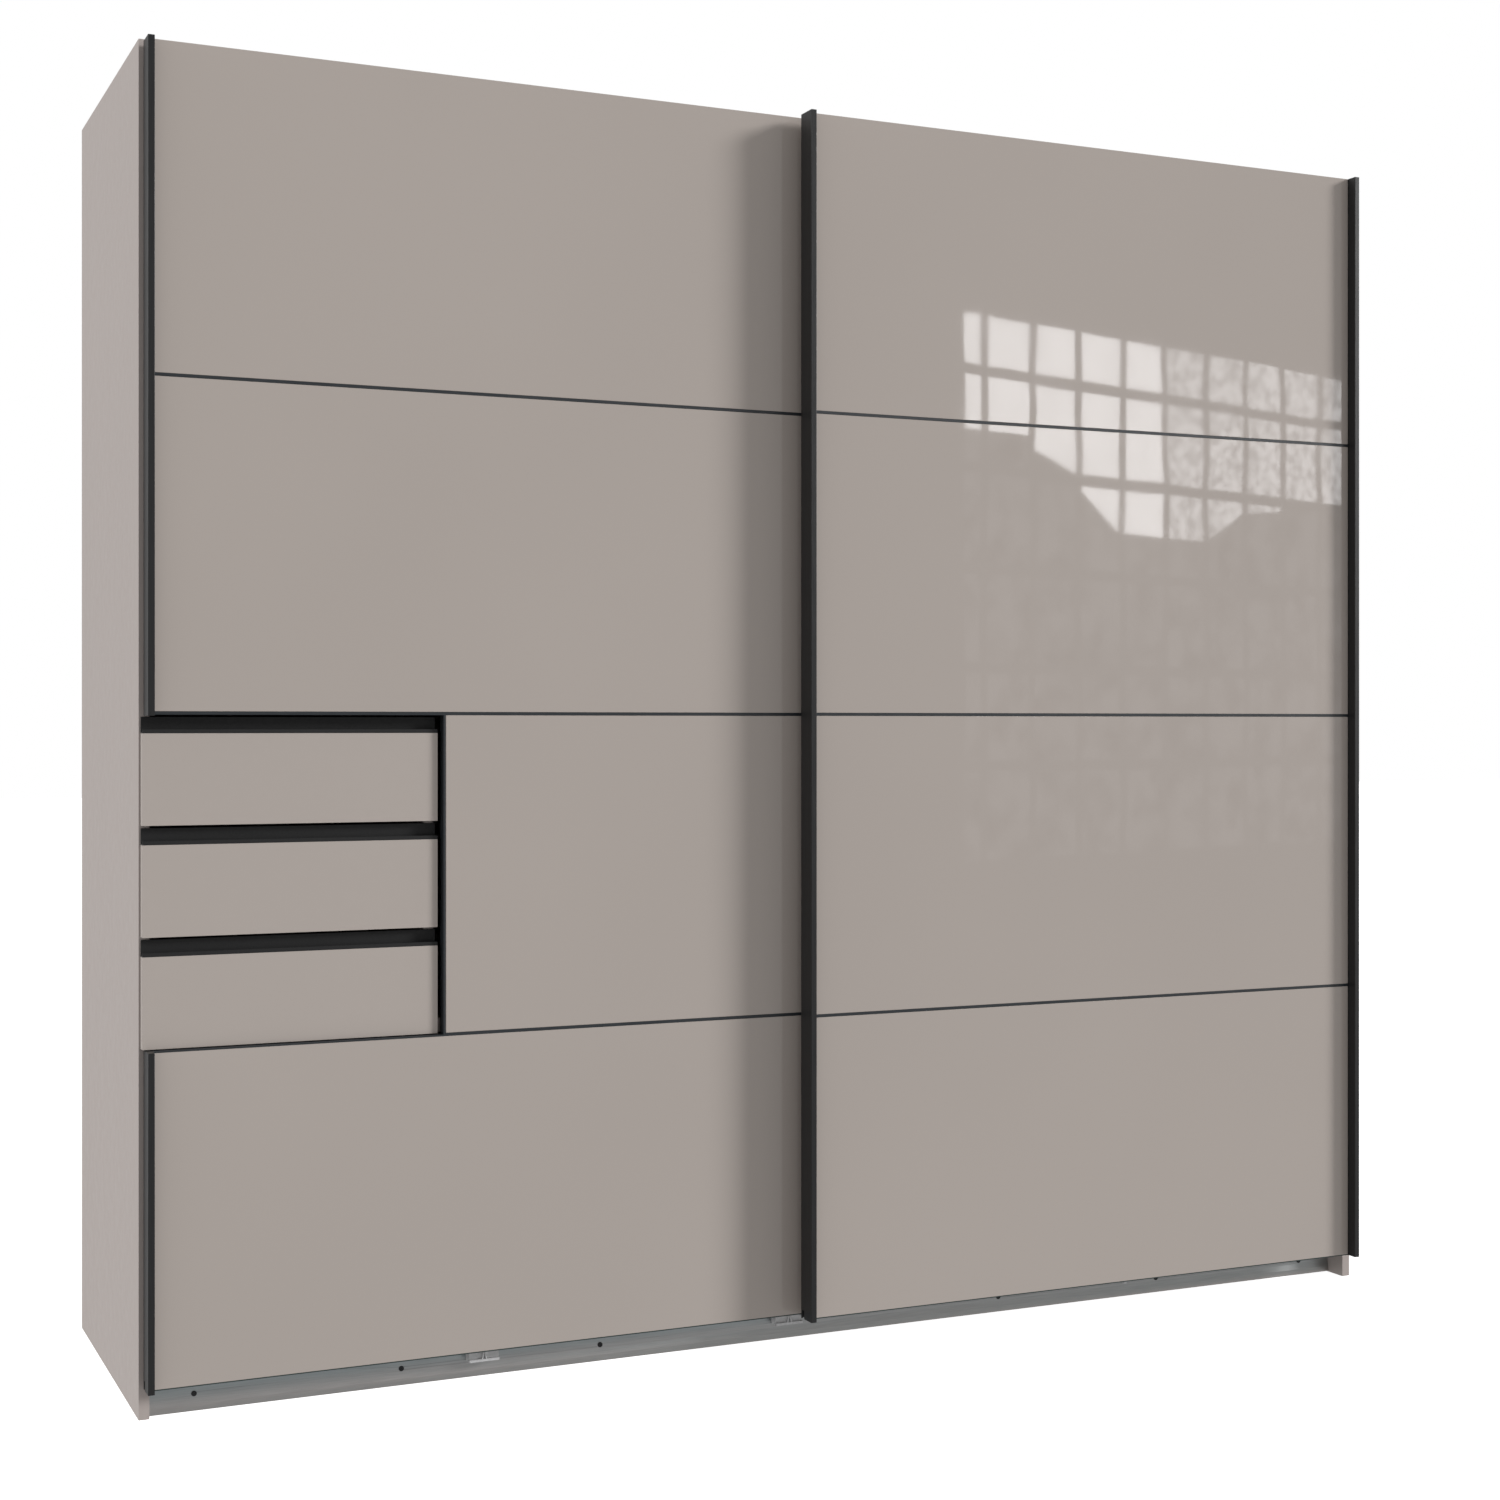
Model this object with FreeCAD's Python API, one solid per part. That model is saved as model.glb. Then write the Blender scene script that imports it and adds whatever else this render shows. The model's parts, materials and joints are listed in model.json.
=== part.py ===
"""Sliding door wardrobe with a block of three drawers that pass through a window in the inner door.

Millimetres, +Z up, origin on the floor in the middle of the wardrobe's bounding box. The doors face -Y.
The left door runs on the inner track and slides right; the right door runs on the outer track and
slides left. Names that end in X, Y or Z are places, and the others are sizes and distances.
"""
import FreeCAD
import Part
import os

# Carcass
WIDTH = 2250.0
HEIGHT = 2080.0
DEPTH = 665.0
CARCASS_DEPTH = 580.0
BOARD = 16.0
PLINTH_HEIGHT = 65.0
PLINTH_SETBACK = 16.0
PLINTH_REAR_SETBACK = 40.0
TOP_PANEL_DROP = 56.0
TOP_PANEL_SETBACK = 18.0
PARTITION_SETBACK = 20.0
OUTER_SIDE_STEP = 30.0

# Back sheets and the profiles between them
BACK_SHEET = 3.0
REBATE = 8.0
PROFILE_WIDTH = 14.0
PROFILE_WEB = 2.0
PROFILE_LIP = 1.2

# Shelves and their pins
HAT_SHELF_Z = 1760.0
SHELF_SETBACK = 30.0
SHELF_FIT = 0.5
PIN_RADIUS = 2.5
PIN_LENGTH = 10.0
PIN_HOLE = 7.0
PIN_INSET = 50.0

# Cam fittings: distance from the end of the board, rows behind the carcass front, and the cross slot
CAM_RADIUS = 7.5
CAM_DEPTH = 12.0
CAM_INSET = 34.0
CAM_ROWS = (110.0, 300.0, 490.0)
CAM_SLOT_LENGTH = 9.0
CAM_SLOT_WIDTH = 1.6
CAM_SLOT_DEPTH = 2.0

# Clothes rails: oval tubes in screwed cups
TUBE_Z = 1700.0
TUBE_SETBACK = 300.0
TUBE_HALF_HEIGHT = 15.0
TUBE_END_RADIUS = 7.5
TUBE_WALL = 1.2
TUBE_FIT = 0.1
CUP_WALL = 2.0
CUP_DEPTH = 14.0
FLANGE = 2.5
FLANGE_RISE = 12.0
FLANGE_SIDE = 5.0

# Screws: radius and height of each kind of head, and the common shank
PAN_HEAD = (4.0, 2.2)
LOW_HEAD = (4.2, 1.6)
HEAD_ROUNDING = 0.45
RECESS_LENGTH = 4.6
RECESS_WIDTH = 0.9
RECESS_DEPTH = 1.1
SHANK_RADIUS = 2.0
CLEARANCE_RADIUS = 2.25
BRACKET_SCREW = 12.0
RAIL_SCREW = 14.0
HANGER_SCREW = 14.0

# Wall brackets, each with one hole for a wall screw and two screws into the top panel
BRACKET_X = 700.0
BRACKET_SHEET = 2.0
BRACKET_WIDTH = 40.0
BRACKET_LEG = 34.0
BRACKET_HOLE_RADIUS = 2.75
BRACKET_HOLE_RISE = 22.0
BRACKET_SCREW_SPACING = 20.0
BRACKET_SCREW_SETBACK = 22.0

# Upper track; ribs are measured behind the carcass front
TRACK_SHEET = 3.0
TRACK_LIP = 2.5
TRACK_LIP_DROP = 20.0
TRACK_REAR = 82.0
INNER_RIB = 30.0
OUTER_RIB = 65.0
RIB_HEIGHT = 7.0
RIB_WIDTH = 2.5
STOP_LENGTH = 24.0
STOP_WIDTH = 10.0
STOP_HEIGHT = 20.0
STOP_GAP = 1.5

# Lower rail; its screws are measured from the wardrobe's left side
RAIL_TOP_Z = 62.0
RAIL_BOTTOM_Z = 2.0
RAIL_SLOPE_Z = (11.0, 21.0)
RAIL_FACE = 14.0
RAIL_SHEET = 2.0
RAIL_FOOT = 2.0
RAIL_SCREW_Z = 27.0
RAIL_SCREWS = (85.0, 410.0, 746.0, 1504.0, 1840.0, 2165.0)

# Bottom guides: place from the left side, underside, and whether an arm serves the outer door as well
GUIDES = ((541.0, 28.5, False), (1082.0, 28.5, True), (1709.0, 35.0, True))
GUIDE_WIDTH = 50.0
GUIDE_SHEET = 2.5
GUIDE_REACH = 17.0
GUIDE_RELIEF = 4.0
GUIDE_LIP = 4.0
GUIDE_CLEARANCE = 3.0
RIB_FOOT = 8.5
RIB_LEG = 1.8
TONGUE_THICKNESS = 6.0
TONGUE_WIDTH = 5.0
TONGUE_TIP_Z = 61.0
OUTER_ARM_OFFSET = 18.0
GUIDE_GROOVE_WIDTH = 8.0
GUIDE_GROOVE_DEPTH = 14.0

# Doors
DOOR_WIDTH = 1144.0
DOOR_BOTTOM_Z = 49.0
DOOR_TOP_Z = 2075.0
DOOR_TRAVEL = 1060.0
GLASS = 4.0
INNER_DOOR_GAP = 7.0
DOOR_OFFSET = 38.0
INNER_DOOR_MARGIN = 6.0
OUTER_DOOR_MARGIN = 21.0
STILE_WIDTH = 10.0
STILE_DEPTH = 40.0
STILE_WALL = 1.5
STILE_CAP = 3.0
STILE_LAP = 1.5
STILE_ROUNDING = 0.8
PANE_JOINTS_Z = (558.0, 1065.0, 1573.0)
JOINT_STRIP = 5.0
STRIP_RECESS = 0.4

# Running gear
WHEEL_RADIUS = 12.0
WHEEL_TREAD = 9.0
WHEEL_WIDTH = 8.0
GROOVE_FIT = 0.45
GROOVE_FLARE = 0.9
RUNNING_GAP = 0.3
AXLE_RADIUS = 2.5
AXLE_FIT = 0.08
AXLE_HEAD = (4.0, 1.5)
AXLE_NUT = (5.0, 3.0)
AXLE_END = 1.0
HANGER_INSET = 150.0
HANGER_SHEET = 3.0
HANGER_WIDTH = 60.0
HANGER_PLATE_DROP = 70.0
HANGER_LEG_WIDTH = 28.0
HANGER_LEG_GAP = 4.0
HANGER_LEG_END = 8.0
INNER_HANGER_Z = 2073.0
OUTER_HANGER_Z = 2079.5
HANGER_SCREWS = ((-20, -55), (20, -55), (-20, -20), (20, -20))

# Window in the inner door
WINDOW_WIDTH = 467.0
WINDOW_PROFILE = 3.5
WINDOW_SILL = 2.5
WINDOW_BOTTOM_Z = 558.0
WINDOW_TOP_Z = 1062.5

# Drawer block
FRONT_INSET = 2.5
FRONT_WIDTH = 457.5
FRONT_HEIGHT = 139.0
FRONT_PITCH = 168.0
FRONT_GAP = 2.0
LOWEST_FRONT_Z = 559.5
GRIP_HEIGHT = 25.0
GRIP_LIP = 6.0
GRIP_WALL = 1.8
DIVIDER_PLACE = 442.0
BLOCK_TOP_Z = 1059.0
DRAWER_SHELF = 22.0
DRAWER_SHELF_Z = 559.0
BOX_RISE = 30.5
BOX_HEIGHT = 110.0
BOX_LENGTH = 450.0
BOX_BOARD = 12.0
BOX_SHEET = 3.0
BOX_SHEET_RISE = 8.0

# Drawer slides: each member's web and lip edge, measured from the wall, and half its height
SLIDE_MEMBERS = ((0.0, 8.6, 22.5), (3.0, 9.6, 17.0), (12.7, 6.0, 11.5))
SLIDE_SPACE = 12.7
SLIDE_LENGTH = 446.0
SLIDE_SHEET = 1.2
SLIDE_SETBACK = 2.0
SLIDE_RISE = 45.0

# Planes that follow from these
LEFT_X = -WIDTH / 2
RIGHT_X = WIDTH / 2
INNER_LEFT_X = LEFT_X + BOARD
INNER_RIGHT_X = RIGHT_X - BOARD
PARTITION_X = (-BOARD / 2, BOARD / 2)
DIVIDER_X = LEFT_X + DIVIDER_PLACE
WINDOW_RIGHT_X = LEFT_X + WINDOW_WIDTH + WINDOW_PROFILE
DRAWER_FRONT_X = (LEFT_X + FRONT_INSET, LEFT_X + FRONT_INSET + FRONT_WIDTH)
BACK_Y = DEPTH / 2
FRONT_Y = BACK_Y - CARCASS_DEPTH
SHEET_Y = BACK_Y - BACK_SHEET
SHELF_REAR_Y = SHEET_Y - PROFILE_LIP
INNER_DOOR_Y = FRONT_Y - INNER_DOOR_GAP
OUTER_DOOR_Y = INNER_DOOR_Y - DOOR_OFFSET
DRAWER_FRONT_Y = (FRONT_Y - FRONT_GAP - BOARD, FRONT_Y - FRONT_GAP)
FLOOR_BOARD_Z = PLINTH_HEIGHT + BOARD
TOP_PANEL_Z = HEIGHT - TOP_PANEL_DROP
CEILING_Z = TOP_PANEL_Z - BOARD
TRACK_Z = TOP_PANEL_Z + TRACK_SHEET
RIB_Z = TRACK_Z + RIB_HEIGHT
AXLE_Z = RIB_Z + RUNNING_GAP + WHEEL_TREAD
INNER_DOOR_X = (LEFT_X + INNER_DOOR_MARGIN, LEFT_X + INNER_DOOR_MARGIN + DOOR_WIDTH)
OUTER_DOOR_X = (RIGHT_X - OUTER_DOOR_MARGIN - DOOR_WIDTH, RIGHT_X - OUTER_DOOR_MARGIN)
HALVES_X = ((INNER_LEFT_X, PARTITION_X[0]), (PARTITION_X[1], INNER_RIGHT_X))

nodes = {}


def box(x, y, z):
    """A block between the low and high values of each pair."""
    size = (x[1] - x[0], y[1] - y[0], z[1] - z[0])
    return Part.makeBox(*size, FreeCAD.Vector(x[0], y[0], z[0]))


def rod(radius, start, length, axis):
    """A round bar from start along axis."""
    return Part.makeCylinder(radius, length, FreeCAD.Vector(*start), FreeCAD.Vector(*axis))


def group(solids):
    """Separate like pieces that share one node."""
    return Part.makeCompound(solids)


def joined(solids):
    """One solid from pieces that are made as one."""
    return solids[0].multiFuse(solids[1:]).removeSplitter()


def around(centre, size):
    """The low and high value of a size centred on a place."""
    return (centre - size / 2, centre + size / 2)


def outline_face(points):
    """A flat face with straight edges between its corners."""
    corners = [FreeCAD.Vector(*point) for point in points]
    return Part.Face(Part.makePolygon(corners + corners[:1]))


def screw(point, axis, length, head):
    """A screw whose rounded, cross recessed head sits on point and whose shank runs along axis."""
    head_radius, head_height = head
    direction = FreeCAD.Vector(*axis)
    outer_end = FreeCAD.Vector(*point) - direction * head_height
    cap = Part.makeCylinder(head_radius, head_height, outer_end, direction)
    rims = [edge for edge in cap.Edges if edge.Curve.TypeId == "Part::GeomCircle"]
    outer_rim = [edge for edge in rims if edge.Curve.Center.isEqual(outer_end, 0.01)]
    cap = cap.makeFillet(HEAD_ROUNDING * head_height, outer_rim)
    along = (RECESS_LENGTH, RECESS_WIDTH)
    turn = FreeCAD.Rotation(FreeCAD.Vector(0, 0, 1), direction)
    for size_x, size_y in (along, along[::-1]):
        arm = box(around(0, size_x), around(0, size_y), (0, RECESS_DEPTH))
        arm.Placement = FreeCAD.Placement(outer_end, turn)
        cap = cap.cut(arm)
    return cap.fuse(rod(SHANK_RADIUS, point, length, axis))


def pilot(point, axis, length):
    """The hole that a screw cuts for itself in a board."""
    return rod(SHANK_RADIUS, point, length, axis)


def clearance(point, axis, sheet):
    """The wider hole that a screw passes through in a sheet."""
    return rod(CLEARANCE_RADIUS, point, sheet, axis)


# ---------------------------------------------------------------- carcass

def side_panel(x, front, rebate_x):
    """A side panel that stands on the floor, rebated at the back for the back sheets."""
    panel = box(x, (front, BACK_Y), (0, HEIGHT))
    rebate = box(rebate_x, (SHEET_Y, BACK_Y), (PLINTH_HEIGHT, TOP_PANEL_Z))
    return panel.cut(rebate)


def cam_places():
    """Each cam's centre in x and y: a row along both ends of each half of the top and bottom panels."""
    ends = [x for low, high in HALVES_X for x in (low + CAM_INSET, high - CAM_INSET)]
    return [(x, FRONT_Y + row) for x in ends for row in CAM_ROWS]


def cam_pocket(x, y, face_z, direction):
    """The round pocket for a cam; direction points into the board."""
    return rod(CAM_RADIUS, (x, y, face_z), CAM_DEPTH, (0, 0, direction))


def cam(x, y, face_z, direction):
    """A cam disc let in flush with a panel's face, with a cross slot."""
    disc = cam_pocket(x, y, face_z, direction)
    slot_z = sorted((face_z, face_z + CAM_SLOT_DEPTH * direction))
    along = (CAM_SLOT_LENGTH, CAM_SLOT_WIDTH)
    for size_x, size_y in (along, along[::-1]):
        disc = disc.cut(box(around(x, size_x), around(y, size_y), slot_z))
    return disc


def make_carcass():
    """The boards of the two compartments and their cam fittings."""
    left_rebate = (INNER_LEFT_X - REBATE, INNER_LEFT_X)
    right_rebate = (INNER_RIGHT_X, INNER_RIGHT_X + REBATE)
    nodes["side_panel_left"] = side_panel((LEFT_X, INNER_LEFT_X), FRONT_Y, left_rebate)
    outer_front = FRONT_Y - OUTER_SIDE_STEP
    nodes["side_panel_right"] = side_panel((INNER_RIGHT_X, RIGHT_X), outer_front, right_rebate)

    partition_y = (FRONT_Y + PARTITION_SETBACK, SHEET_Y)
    nodes["middle_partition"] = box(PARTITION_X, partition_y, (FLOOR_BOARD_Z, CEILING_Z))

    top_y = (FRONT_Y + TOP_PANEL_SETBACK, SHEET_Y)
    bottom_y = (FRONT_Y, SHEET_Y)
    for side, x in (("left", (INNER_LEFT_X, 0)), ("right", (0, INNER_RIGHT_X))):
        top = box(x, top_y, (CEILING_Z, TOP_PANEL_Z))
        bottom = box(x, bottom_y, (PLINTH_HEIGHT, FLOOR_BOARD_Z))
        nodes["top_panel_" + side] = top.cut([cam_pocket(*xy, TOP_PANEL_Z, -1) for xy in cam_places()])
        nodes["bottom_panel_" + side] = bottom.cut([cam_pocket(*xy, PLINTH_HEIGHT, 1) for xy in cam_places()])
    cams = [cam(*xy, TOP_PANEL_Z, -1) for xy in cam_places()]
    cams += [cam(*xy, PLINTH_HEIGHT, 1) for xy in cam_places()]
    nodes["cam_fittings"] = group(cams)


def make_plinth():
    """Two long plinth boards and the bearer under the partition, which carry the bottom panels."""
    front = (FRONT_Y + PLINTH_SETBACK, FRONT_Y + PLINTH_SETBACK + BOARD)
    rear = (BACK_Y - PLINTH_REAR_SETBACK - BOARD, BACK_Y - PLINTH_REAR_SETBACK)
    boards = [box((INNER_LEFT_X, INNER_RIGHT_X), y, (0, PLINTH_HEIGHT)) for y in (front, rear)]
    boards.append(box(PARTITION_X, (front[1], rear[0]), (0, PLINTH_HEIGHT)))
    nodes["plinth_boards"] = group(boards)


def make_back():
    """Four thin back sheets in the rebates, with a plastic T profile where two of them meet."""
    above = (HAT_SHELF_Z + BOARD, CEILING_Z)
    left_spans = [(FLOOR_BOARD_Z, DRAWER_SHELF_Z), (DRAWER_SHELF_Z + DRAWER_SHELF, HAT_SHELF_Z), above]
    right_spans = [(FLOOR_BOARD_Z, HAT_SHELF_Z), above]
    left_x = (INNER_LEFT_X - REBATE, 0)
    right_x = (0, INNER_RIGHT_X + REBATE)
    sheets = []
    profiles = []
    for (low, high), spans in ((left_x, left_spans), (right_x, right_spans)):
        middle = (low + high) / 2
        web_x = around(middle, PROFILE_WEB)
        for x in ((low, web_x[0]), (web_x[1], high)):
            sheets.append(box(x, (SHEET_Y, BACK_Y), (PLINTH_HEIGHT, TOP_PANEL_Z)))
        pieces = [box(web_x, (SHEET_Y, BACK_Y), (FLOOR_BOARD_Z, CEILING_Z))]
        for z in spans:
            pieces.append(box(around(middle, PROFILE_WIDTH), (SHELF_REAR_Y, SHEET_Y), z))
        profiles.append(joined(pieces))
    nodes["back_sheets"] = group(sheets)
    nodes["back_joint_profiles"] = group(profiles)


def make_shelves():
    """A hat shelf in each half, on pins, and the fixed shelf that the drawer block stands on."""
    z = (HAT_SHELF_Z, HAT_SHELF_Z + BOARD)
    y = (FRONT_Y + SHELF_SETBACK, SHELF_REAR_Y)
    shelves = [box((low + SHELF_FIT, high - SHELF_FIT), y, z) for low, high in HALVES_X]
    nodes["hat_shelves"] = group(shelves)
    pins = []
    pin_z = HAT_SHELF_Z - PIN_RADIUS
    for low, high in HALVES_X:
        for pin_y in (y[0] + PIN_INSET, y[1] - PIN_INSET):
            for start in (low - PIN_HOLE, high - PIN_LENGTH):
                pins.append(rod(PIN_RADIUS, (start, pin_y, pin_z), PIN_LENGTH + PIN_HOLE, (1, 0, 0)))
    nodes["shelf_pins"] = group(pins)
    for board in ("side_panel_left", "side_panel_right", "middle_partition"):
        nodes[board] = nodes[board].cut(pins)
    fixed_z = (DRAWER_SHELF_Z, DRAWER_SHELF_Z + DRAWER_SHELF)
    nodes["drawer_shelf"] = box(HALVES_X[0], (FRONT_Y, SHELF_REAR_Y), fixed_z)


def oval(x, half_height, radius):
    """A bar of upright oval section, flat sided and round ended, between the x values of a pair."""
    y = FRONT_Y + TUBE_SETBACK
    straight = half_height - radius
    body = box(x, around(y, 2 * radius), around(TUBE_Z, 2 * straight))
    ends = [rod(radius, (x[0], y, TUBE_Z + s * straight), x[1] - x[0], (1, 0, 0)) for s in (-1, 1)]
    return joined([body] + ends)


def rail_cup(wall, sign):
    """A cup on a wall for a tube's end; sign is the direction from the wall to the tube."""
    fitted = (TUBE_HALF_HEIGHT + TUBE_FIT, TUBE_END_RADIUS + TUBE_FIT)
    flange_x = sorted((wall, wall + sign * FLANGE))
    cup_x = sorted((wall, wall + sign * CUP_DEPTH))
    bore_x = sorted((wall + sign * FLANGE, wall + sign * CUP_DEPTH))
    flange = oval(flange_x, TUBE_HALF_HEIGHT + FLANGE_RISE, TUBE_END_RADIUS + FLANGE_SIDE)
    cup = oval(cup_x, fitted[0] + CUP_WALL, fitted[1] + CUP_WALL)
    return joined([flange, cup]).cut(oval(bore_x, *fitted))


def make_clothes_rails():
    """An oval tube across each half, held at both ends in screwed cups."""
    tubes = []
    cups = []
    for low, high in HALVES_X:
        x = (low + FLANGE, high - FLANGE)
        bore = oval(x, TUBE_HALF_HEIGHT - TUBE_WALL, TUBE_END_RADIUS - TUBE_WALL)
        tubes.append(oval(x, TUBE_HALF_HEIGHT, TUBE_END_RADIUS).cut(bore))
        cups += [rail_cup(low, 1), rail_cup(high, -1)]
    nodes["clothes_rails"] = group(tubes)
    nodes["clothes_rail_cups"] = group(cups)


def make_wall_brackets():
    """Two angle brackets that tie the top panels back to the wall, each with one round hole."""
    brackets = []
    screws = []
    down = (0, 0, -1)
    for side, x in (("left", -BRACKET_X), ("right", BRACKET_X)):
        span = around(x, BRACKET_WIDTH)
        foot = box(span, (BACK_Y - BRACKET_LEG, BACK_Y), (TOP_PANEL_Z, TOP_PANEL_Z + BRACKET_SHEET))
        upright = box(span, (BACK_Y - BRACKET_SHEET, BACK_Y), (TOP_PANEL_Z, TOP_PANEL_Z + BRACKET_LEG))
        hole_start = (x, BACK_Y - BRACKET_SHEET, TOP_PANEL_Z + BRACKET_HOLE_RISE)
        hole = rod(BRACKET_HOLE_RADIUS, hole_start, BRACKET_SHEET, (0, 1, 0))
        bracket = joined([foot, upright]).cut(hole)
        for screw_x in around(x, BRACKET_SCREW_SPACING):
            place = (screw_x, BACK_Y - BRACKET_SCREW_SETBACK, TOP_PANEL_Z + BRACKET_SHEET)
            screws.append(screw(place, down, BRACKET_SCREW, PAN_HEAD))
            bracket = bracket.cut(clearance(place, down, BRACKET_SHEET))
            panel = nodes["top_panel_" + side]
            nodes["top_panel_" + side] = panel.cut(pilot(place, down, BRACKET_SCREW))
        brackets.append(bracket)
    nodes["wall_brackets"] = group(brackets)
    nodes["wall_bracket_screws"] = group(screws)


# ---------------------------------------------------------------- tracks and guides

def make_upper_track():
    """The aluminium double track on the front edge of the top panels: one rib for each door."""
    front = FRONT_Y + TOP_PANEL_SETBACK - TRACK_LIP
    x = (INNER_LEFT_X, INNER_RIGHT_X)
    pieces = [
        box(x, (front, FRONT_Y + TRACK_REAR), (TOP_PANEL_Z, TRACK_Z)),
        box(x, (front, front + TRACK_LIP), (TOP_PANEL_Z - TRACK_LIP_DROP, TOP_PANEL_Z)),
    ]
    for rib in (INNER_RIB, OUTER_RIB):
        pieces.append(box(x, around(FRONT_Y + rib, RIB_WIDTH), (TRACK_Z, RIB_Z)))
    nodes["upper_track"] = joined(pieces)


def stop_block(low_x, rib):
    """A plastic block that straddles a rib."""
    x = (low_x, low_x + STOP_LENGTH)
    centre = FRONT_Y + rib
    block = box(x, around(centre, STOP_WIDTH), (TRACK_Z, TRACK_Z + STOP_HEIGHT))
    return block.cut(box(x, around(centre, RIB_WIDTH), (TRACK_Z, RIB_Z)))


def make_stops():
    """Stop blocks at both ends of each door's travel; its outermost wheels run up against them."""
    reach = WHEEL_RADIUS + STOP_GAP
    inner = (INNER_DOOR_X[0], INNER_DOOR_X[1] + DOOR_TRAVEL, INNER_RIB)
    outer = (OUTER_DOOR_X[0] - DOOR_TRAVEL, OUTER_DOOR_X[1], OUTER_RIB)
    blocks = []
    for low, high, rib in (inner, outer):
        blocks.append(stop_block(low + HANGER_INSET - reach - STOP_LENGTH, rib))
        blocks.append(stop_block(high - HANGER_INSET + reach, rib))
    nodes["door_stops"] = group(blocks)


def make_lower_rail():
    """The aluminium rail that covers the plinth: a plate that slopes out to a thicker foot, six screws."""
    face = FRONT_Y + RAIL_FACE
    back = face + RAIL_SHEET
    foot = face - RAIL_FOOT
    inward = (0, 1, 0)
    section = [(back, RAIL_BOTTOM_Z), (back, RAIL_TOP_Z), (face, RAIL_TOP_Z)]
    section += [(face, RAIL_SLOPE_Z[1]), (foot, RAIL_SLOPE_Z[0]), (foot, RAIL_BOTTOM_Z)]
    end = outline_face([(INNER_LEFT_X, y, z) for y, z in section])
    rail = end.extrude(FreeCAD.Vector(INNER_RIGHT_X - INNER_LEFT_X, 0, 0))
    screws = []
    for along in RAIL_SCREWS:
        place = (LEFT_X + along, face, RAIL_SCREW_Z)
        screws.append(screw(place, inward, RAIL_SCREW, LOW_HEAD))
        rail = rail.cut(clearance(place, inward, RAIL_SHEET))
        nodes["plinth_boards"] = nodes["plinth_boards"].cut(pilot(place, inward, RAIL_SCREW))
    nodes["lower_rail"] = rail
    nodes["lower_rail_screws"] = group(screws)


def guide_rib(x, y, z):
    """A rib in the form of a letter A without its bar, between the low and high values of y and z."""
    foot = RIB_FOOT / 2
    top = RIB_LEG
    corners = [(foot, z[0]), (top, z[1]), (-top, z[1]), (-foot, z[0])]
    corners += [(RIB_LEG - foot, z[0]), (0, z[1] - 2 * RIB_LEG), (foot - RIB_LEG, z[0])]
    face = outline_face([(x + dx, y[0], corner_z) for dx, corner_z in corners])
    return face.extrude(FreeCAD.Vector(0, y[1] - y[0], 0))


def tongue(x, door_rear, arm_y, arm_z):
    """A narrow arm that ends in an upright tongue, which runs in the groove under a door board."""
    along = around(x, TONGUE_WIDTH)
    y = around(door_rear - BOARD / 2, TONGUE_THICKNESS)
    arm = box(along, (y[0], arm_y), arm_z)
    return arm.fuse(box(along, y, (arm_z[1], TONGUE_TIP_Z)))


def bottom_guide(along, foot_z, outer):
    """A plastic bracket on the lower rail, open at its sides, with a lip, a rib and the tongues' arms."""
    x = LEFT_X + along
    wide = around(x, GUIDE_WIDTH)
    face = FRONT_Y + RAIL_FACE
    front = face - GUIDE_REACH
    relief_y = (front - GUIDE_RELIEF, front)
    top_z = DOOR_BOTTOM_Z - GUIDE_CLEARANCE
    sheet_z = (top_z - GUIDE_SHEET, top_z)
    lip_z = foot_z + GUIDE_LIP
    pieces = [
        box(wide, (face - GUIDE_SHEET, face), (foot_z, top_z)),
        box(wide, (front, face), sheet_z),
        box(wide, (front, front + GUIDE_SHEET), (foot_z, top_z)),
        box(wide, relief_y, (foot_z, lip_z)),
        guide_rib(x, relief_y, (lip_z, top_z)),
        tongue(x, INNER_DOOR_Y, front, sheet_z),
    ]
    if outer:
        pieces.append(tongue(x + OUTER_ARM_OFFSET, OUTER_DOOR_Y, front, sheet_z))
    return joined(pieces)


def make_bottom_guides():
    """Three fixed guides; each door has at least one of them in its groove wherever it stands."""
    nodes["bottom_guides"] = group([bottom_guide(*guide) for guide in GUIDES])


# ---------------------------------------------------------------- doors

def pane_spans():
    """The low and high edge of each of the four panes, from the bottom up."""
    joints = [around(z, JOINT_STRIP) for z in PANE_JOINTS_Z]
    lows = [DOOR_BOTTOM_Z] + [high for low, high in joints]
    highs = [low for low, high in joints] + [DOOR_TOP_Z]
    return list(zip(lows, highs))


def guide_groove(rear):
    """The groove along a door's bottom edge, open at both ends."""
    z = (DOOR_BOTTOM_Z, DOOR_BOTTOM_Z + GUIDE_GROOVE_DEPTH)
    return box((LEFT_X, RIGHT_X), around(rear - BOARD / 2, GUIDE_GROOVE_WIDTH), z)


def stile(x, rear, z, cap_at_top):
    """A hollow handle profile with one closed end; the other end is open."""
    body = box((x, x + STILE_WIDTH), (rear - STILE_DEPTH, rear), z)
    upright = [edge for edge in body.Edges if abs(edge.tangentAt(edge.FirstParameter).z) > 0.9]
    body = body.makeFillet(STILE_ROUNDING, upright)
    hollow_z = (z[0], z[1] - STILE_CAP) if cap_at_top else (z[0] + STILE_CAP, z[1])
    hollow_x = (x + STILE_WALL, x + STILE_WIDTH - STILE_WALL)
    hollow_y = (rear - STILE_DEPTH + STILE_WALL, rear - STILE_WALL)
    return body.cut(box(hollow_x, hollow_y, hollow_z))


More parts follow.
